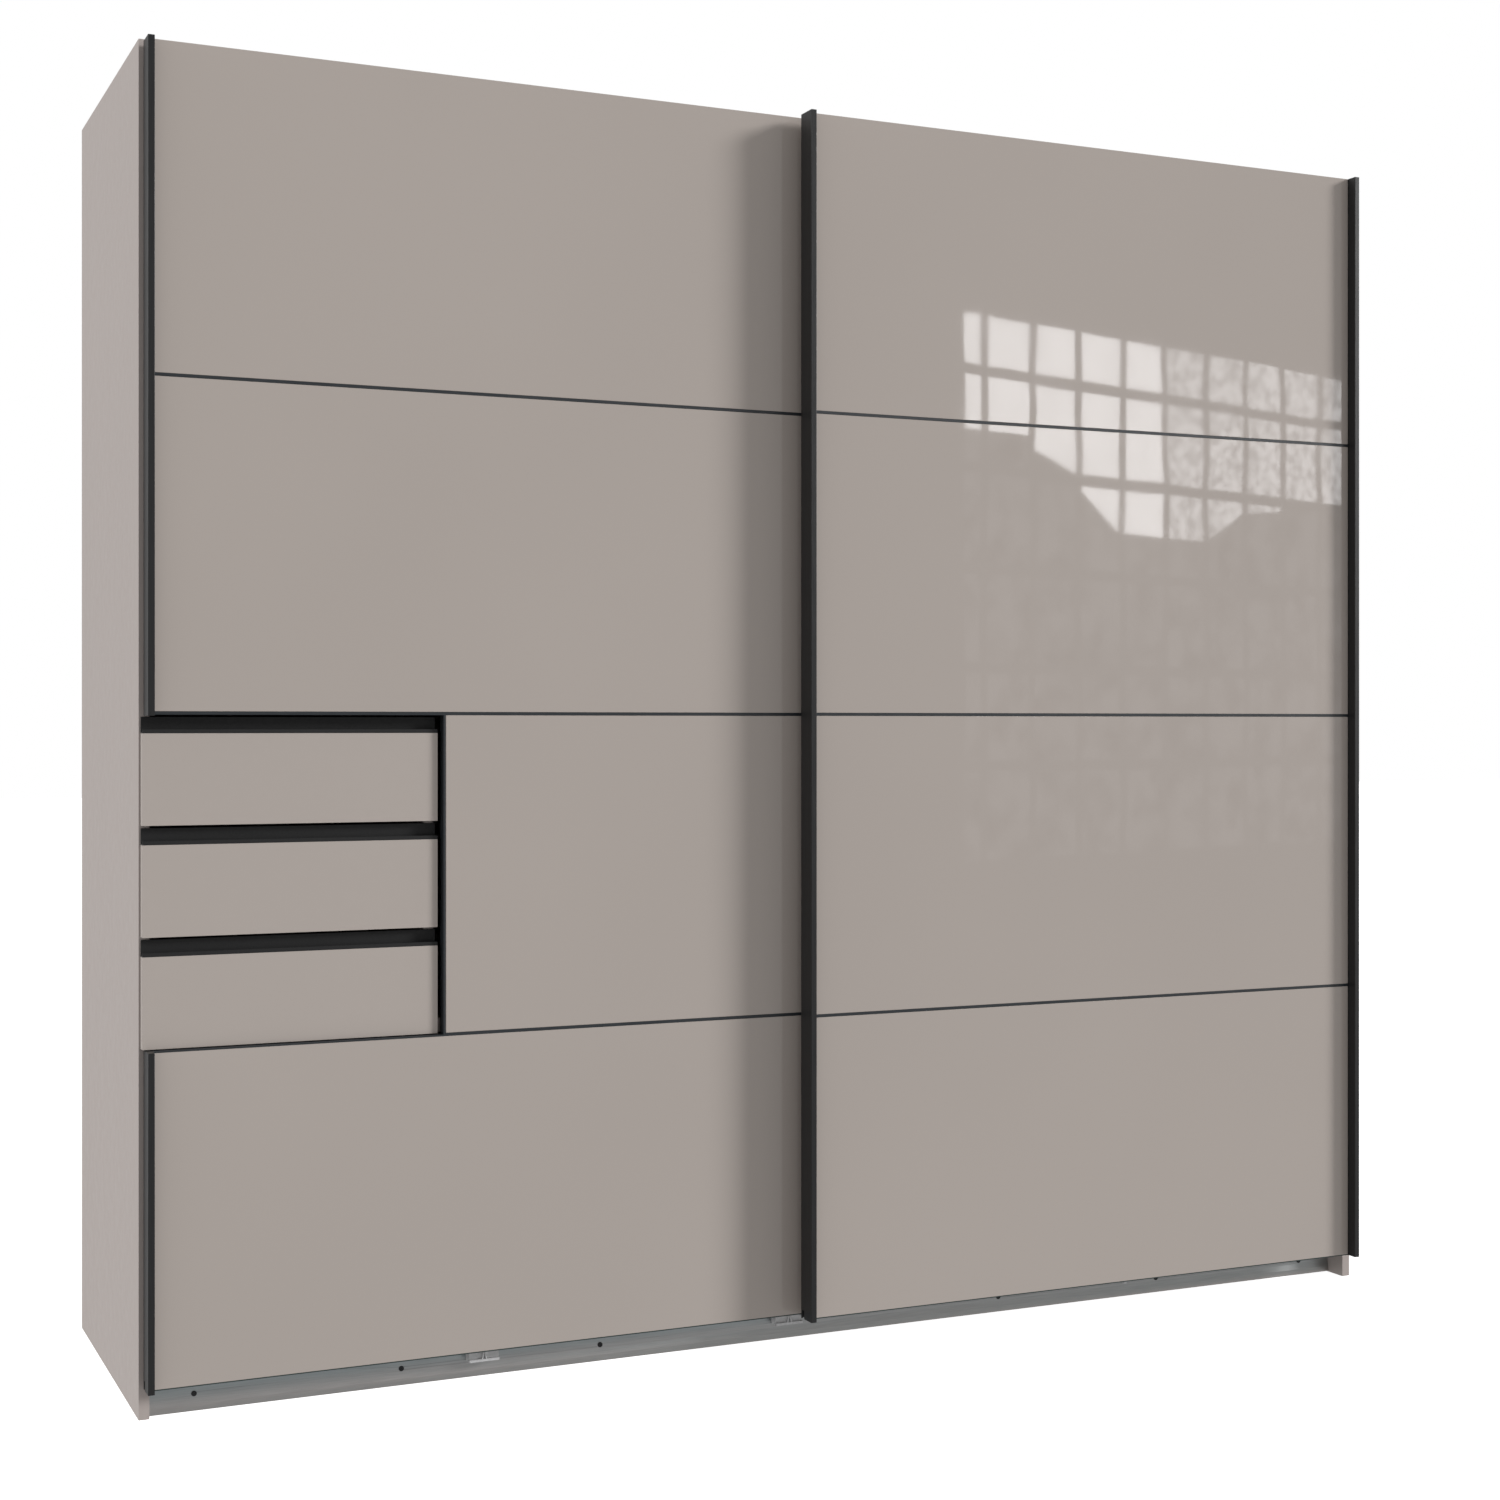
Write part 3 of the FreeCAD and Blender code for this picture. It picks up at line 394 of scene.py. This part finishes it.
BALL_RADIUS = 0.0021
BALL_PITCH = 0.014
CAGE_SHEET = 0.0006
CAGE_LIFT = 0.0005
SLIDE_CENTRE_RISE = 0.0755
OUTER_BALLS = (0.0058, 0.01915)
INNER_BALLS = (0.0078, 0.01365)
HEAD_RADIUS = 0.0032
HEAD_HEIGHT = 0.0018
CROSS_LENGTH = 0.0036
CROSS_WIDTH = 0.0009
CROSS_DEPTH = 0.0009
HEAD_SIDES = 28
CUP_SCREW_RISE = 0.0218
CUP_FLANGE = 0.0025


def add_piece(name, mesh, material, body):
    """Turns a bmesh into a piece of the object that moves with a CAD body."""
    bmesh.ops.recalc_face_normals(mesh, faces=mesh.faces)
    data = bpy.data.meshes.new(name)
    mesh.to_mesh(data)
    mesh.free()
    data.materials.append(material)
    piece = bpy.data.objects.new(name, data)
    bpy.context.collection.objects.link(piece)
    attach(piece, body)
    return piece


def add_block(mesh, centre, size):
    """Adds a block to a bmesh."""
    bmesh.ops.create_cube(mesh, size=1, matrix=Matrix.Translation(centre) @ Matrix.Diagonal((*size, 1)))


def add_balls(mesh, x, y_range, z):
    """Adds a row of steel balls and the thin strip that spaces them."""
    low, high = y_range
    count = int((high - low) / BALL_PITCH)
    for index in range(count):
        place = Matrix.Translation((x, low + BALL_PITCH * (index + 0.5), z))
        bmesh.ops.create_uvsphere(mesh, u_segments=14, v_segments=8, radius=BALL_RADIUS, matrix=place)
    for face in mesh.faces:
        face.smooth = True
    strip = (CAGE_SHEET, BALL_PITCH * count, 2 * (BALL_RADIUS - CAGE_LIFT))
    add_block(mesh, (x, low + strip[1] / 2, z), strip)


def make_ball_cages():
    """Caged balls above and below each slide's middle member, which they travel with."""
    for number in (1, 2, 3):
        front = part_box("drawer_%d_front" % number)
        centre = front[0][2] + SLIDE_CENTRE_RISE
        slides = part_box("drawer_%d_slide_middle" % number)
        middle_y = (slides[0][1] + slides[1][1]) / 2
        rear_half = (middle_y + BALL_PITCH, slides[1][1] - BALL_PITCH)
        front_half = (slides[0][1] + BALL_PITCH, middle_y - BALL_PITCH)
        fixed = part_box("drawer_slide_fixed")
        mesh = bmesh.new()
        for wall, sign in ((fixed[0][0], 1), (fixed[1][0], -1)):
            for (inset, rise), span in ((OUTER_BALLS, rear_half), (INNER_BALLS, front_half)):
                for z in (centre - rise, centre + rise):
                    add_balls(mesh, wall + sign * inset, span, z)
        name = "drawer_%d_slide_balls" % number
        add_piece(name, mesh, FINISHES["zinc_fittings"], "drawer_%d_middle_slide" % number)


def add_screw_head(mesh, place, outward):
    """Adds a chamfered screw head with a cross recess; outward is +1 or -1 along X."""
    def ring(radius, height):
        turns = [math.tau * index / HEAD_SIDES for index in range(HEAD_SIDES)]
        return [mesh.verts.new(point(radius * math.cos(a), radius * math.sin(a), height)) for a in turns]

    def point(across, up, height):
        return (place[0] + outward * height, place[1] + across, place[2] + up)

    def walls(lower, upper):
        for index in range(len(lower)):
            after = (index + 1) % len(lower)
            mesh.faces.new((lower[index], lower[after], upper[after], upper[index]))

    arm, half = CROSS_LENGTH / 2, CROSS_WIDTH / 2
    quarter = ((arm, -half), (arm, half), (half, half))
    cross = list(quarter)
    for _ in range(3):
        cross += [(-y, x) for x, y in cross[-3:]]
    outline = ((HEAD_RADIUS, 0), (HEAD_RADIUS, 0.55 * HEAD_HEIGHT), (0.72 * HEAD_RADIUS, HEAD_HEIGHT))
    rings = [ring(*size) for size in outline]
    for lower, upper in zip(rings, rings[1:]):
        walls(lower, upper)
    mouth = [mesh.verts.new(point(x, y, HEAD_HEIGHT)) for x, y in cross]
    floor = [mesh.verts.new(point(x, y, HEAD_HEIGHT - CROSS_DEPTH)) for x, y in cross]
    walls(mouth, floor)
    mesh.faces.new(floor)
    mesh.faces.new(rings[0])
    edges = []
    for loop in (rings[-1], mouth):
        for index in range(len(loop)):
            pair = (loop[index], loop[(index + 1) % len(loop)])
            edges.append(mesh.edges.get(pair) or mesh.edges.new(pair))
    bmesh.ops.triangle_fill(mesh, use_beauty=True, edges=edges)


def make_cup_screws():
    """Two screws in the flange of each clothes rail cup."""
    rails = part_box("clothes_rails")
    middle_y = (rails[0][1] + rails[1][1]) / 2
    middle_z = (rails[0][2] + rails[1][2]) / 2
    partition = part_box("middle_partition")
    cups = ((rails[0][0], 1), (partition[0][0] - CUP_FLANGE, -1))
    cups += ((partition[1][0] + CUP_FLANGE, 1), (rails[1][0], -1))
    mesh = bmesh.new()
    for face_x, outward in cups:
        for rise in (-CUP_SCREW_RISE, CUP_SCREW_RISE):
            add_screw_head(mesh, (face_x, middle_y, middle_z + rise), outward)
    add_piece("clothes_rail_screws", mesh, FINISHES["zinc_fittings"], "carcass")


make_ball_cages()
make_cup_screws()


# ---------------------------------------------------------------- stage, light and camera

FLOOR_SIZE = 60
FLOOR_GLOW = 0.9
WORLD_LIGHT = 0.5
LAMP_DISTANCE = 8

# Each lamp: azimuth, elevation, energy and apparent size. All but the energy are in degrees
KEY_LAMP = (64, 20, 3.0, 14)
FILL_LAMP = (-100, 15, 1.7, 40)


def stage_plane(name, size, location, material):
    """A square plane that isn't part of the object."""
    bpy.ops.mesh.primitive_plane_add(size=size, location=location)
    plane = bpy.context.object
    plane.name = name
    plane.data.materials.append(material)
    return plane


def hide_from_light(obj, diffuse, glossy, camera=True):
    """Keeps a stage piece from lighting the object and from showing in its reflections."""
    obj.visible_diffuse = diffuse
    obj.visible_glossy = glossy
    obj.visible_camera = camera
    obj.visible_shadow = False


def make_floor():
    """A plain white floor that lights neither the doors nor their reflections."""
    floor = Finish("stage_floor", 0.9)
    floor.color(floor.ramp(floor.noise(3, 2), (0.86, 0.86, 0.86), (0.88, 0.88, 0.88)))
    floor.shader.inputs["Emission Color"].default_value = (1, 1, 1, 1)
    floor.shader.inputs["Emission Strength"].default_value = FLOOR_GLOW
    plane = stage_plane("floor", FLOOR_SIZE, (0, 0, FLOOR), floor.material)
    hide_from_light(plane, False, False)


def make_world():
    """Even grey light from all sides, with a white background behind the object."""
    world = bpy.data.worlds.new("studio")
    bpy.context.scene.world = world
    world.use_nodes = True
    tree = world.node_tree
    lighting = tree.nodes["Background"]
    lighting.inputs["Color"].default_value = (1, 1, 1, 1)
    lighting.inputs["Strength"].default_value = WORLD_LIGHT
    seen = tree.nodes.new("ShaderNodeBackground")
    seen.inputs["Color"].default_value = (1, 1, 1, 1)
    seen.inputs["Strength"].default_value = 1.0
    path = tree.nodes.new("ShaderNodeLightPath")
    mix = tree.nodes.new("ShaderNodeMixShader")
    tree.links.new(path.outputs["Is Camera Ray"], mix.inputs["Fac"])
    tree.links.new(lighting.outputs["Background"], mix.inputs[1])
    tree.links.new(seen.outputs["Background"], mix.inputs[2])
    tree.links.new(mix.outputs["Shader"], tree.nodes["World Output"].inputs["Surface"])


def far_lamp(name, azimuth, elevation, energy, softness):
    """A distant soft lamp; azimuth 0 is in front of the doors and 90 is on the viewer's right."""
    data = bpy.data.lights.new(name, "SUN")
    data.energy = energy
    data.angle = math.radians(softness)
    lamp = bpy.data.objects.new(name, data)
    side, lift = math.radians(azimuth), math.radians(elevation)
    place = Vector((math.sin(side) * math.cos(lift), -math.cos(side) * math.cos(lift), math.sin(lift)))
    lamp.location = LAMP_DISTANCE * place
    lamp.rotation_euler = place.to_track_quat("Z", "Y").to_euler()
    bpy.context.collection.objects.link(lamp)
    return lamp


def make_lights():
    """A key lamp on the right, which draws the stiles' shadows, and a fill on the left side panel."""
    far_lamp("key", *KEY_LAMP)
    far_lamp("left_fill", *FILL_LAMP)


# The window in the studio wall, which the right door mirrors. Distances run along and down from its corner
WINDOW_CORNER = Vector((1.967, -3.273, 2.380))
WINDOW_ALONG = Vector((0.9526, -0.3042, 0.0))
PANE_WIDTH = 0.201
GLAZING_BAR = 0.037
PANE_ROWS = (0.161, 0.285, 0.285, 0.285, 0.285, 0.285)
PANE_COLUMNS = 10
FIRST_COLUMN = 0.37
BRANCHES_FROM = 5
ROOFLINE = (
    (0.0, 0.37), (0.33, 0.37), (0.35, 0.42), (0.56, 0.49), (0.58, 0.53), (0.72, 0.61),
    (0.79, 0.67), (1.28, 0.67), (1.5, 0.56), (2.4, 0.46),
)


def roof_at(along):
    """How far down the window the sky reaches."""
    for (x0, y0), (x1, y1) in zip(ROOFLINE, ROOFLINE[1:]):
        if along <= x1:
            return y0 + (y1 - y0) * (along - x0) / (x1 - x0)
    return ROOFLINE[-1][1]


def pane_material(name, strength, mottle, fineness):
    """Glowing glass; mottle is how far a pattern of branches dims it, and fineness is the pattern's scale."""
    glow = Finish(name, 1.0)
    patches = glow.level(glow.noise(fineness, 4), 1 - mottle, 1.0, 0.35, 0.6)
    emission = glow.tree.nodes.new("ShaderNodeEmission")
    emission.inputs["Color"].default_value = (1, 0.99, 1.0, 1)
    scale = glow.tree.nodes.new("ShaderNodeMath")
    scale.operation = "MULTIPLY"
    scale.inputs[1].default_value = strength
    glow.wire(patches, scale.inputs[0])
    glow.wire(scale.outputs["Value"], emission.inputs["Strength"])
    glow.wire(emission.outputs["Emission"], glow.tree.nodes["Material Output"].inputs["Surface"])
    return glow.material


def make_window():
    """A paned studio window: bright sky above a roofline and faint light below it."""
    mesh = bmesh.new()

    def pane(corners, index):
        points = [WINDOW_CORNER + WINDOW_ALONG * along + Vector((0, 0, -down)) for along, down in corners]
        face = mesh.faces.new([mesh.verts.new(point) for point in points])
        face.material_index = index

    left = 0.0
    for column in range(PANE_COLUMNS):
        width = PANE_WIDTH * (FIRST_COLUMN if column == 0 else 1)
        right = left + width
        top = 0.0
        for height in PANE_ROWS:
            bottom = top + height
            cut_left, cut_right = (min(max(roof_at(x), top), bottom) for x in (left, right))
            sky = 0 if column < BRANCHES_FROM else 1
            if min(cut_left, cut_right) > top or max(cut_left, cut_right) > top + 0.01:
                pane([(left, top), (right, top), (right, cut_right), (left, cut_left)], sky)
            if max(cut_left, cut_right) < bottom - 0.01:
                pane([(left, cut_left), (right, cut_right), (right, bottom), (left, bottom)], 2)
            top = bottom + GLAZING_BAR
        left = right + GLAZING_BAR
    data = bpy.data.meshes.new("studio_window")
    mesh.to_mesh(data)
    mesh.free()
    window = bpy.data.objects.new("studio_window", data)
    bpy.context.collection.objects.link(window)
    data.materials.append(pane_material("window_sky", 9.5, 0.08, 9))
    data.materials.append(pane_material("window_branches", 6.5, 0.6, 26))
    data.materials.append(pane_material("window_street", 0.9, 0.6, 9))
    hide_from_light(window, False, True, camera=False)


CAMERA_PLACE = (-1.7074, FRONT - 3.413, 1.0464)
CAMERA_YAW = math.radians(24.49)
CAMERA_LENS = 54.62
CAMERA_SHIFT_Y = -0.0164


def make_camera():
    """A level camera to the left of the wardrobe, about a metre above the floor."""
    data = bpy.data.cameras.new("camera")
    data.sensor_width = 36
    data.lens = CAMERA_LENS
    data.shift_y = CAMERA_SHIFT_Y
    camera = bpy.data.objects.new("camera", data)
    camera.location = CAMERA_PLACE
    camera.rotation_euler = (math.radians(90), 0, -CAMERA_YAW)
    bpy.context.collection.objects.link(camera)
    bpy.context.scene.camera = camera


make_floor()
make_world()
make_lights()
make_window()
make_camera()
bpy.context.scene.view_settings.view_transform = "Standard"
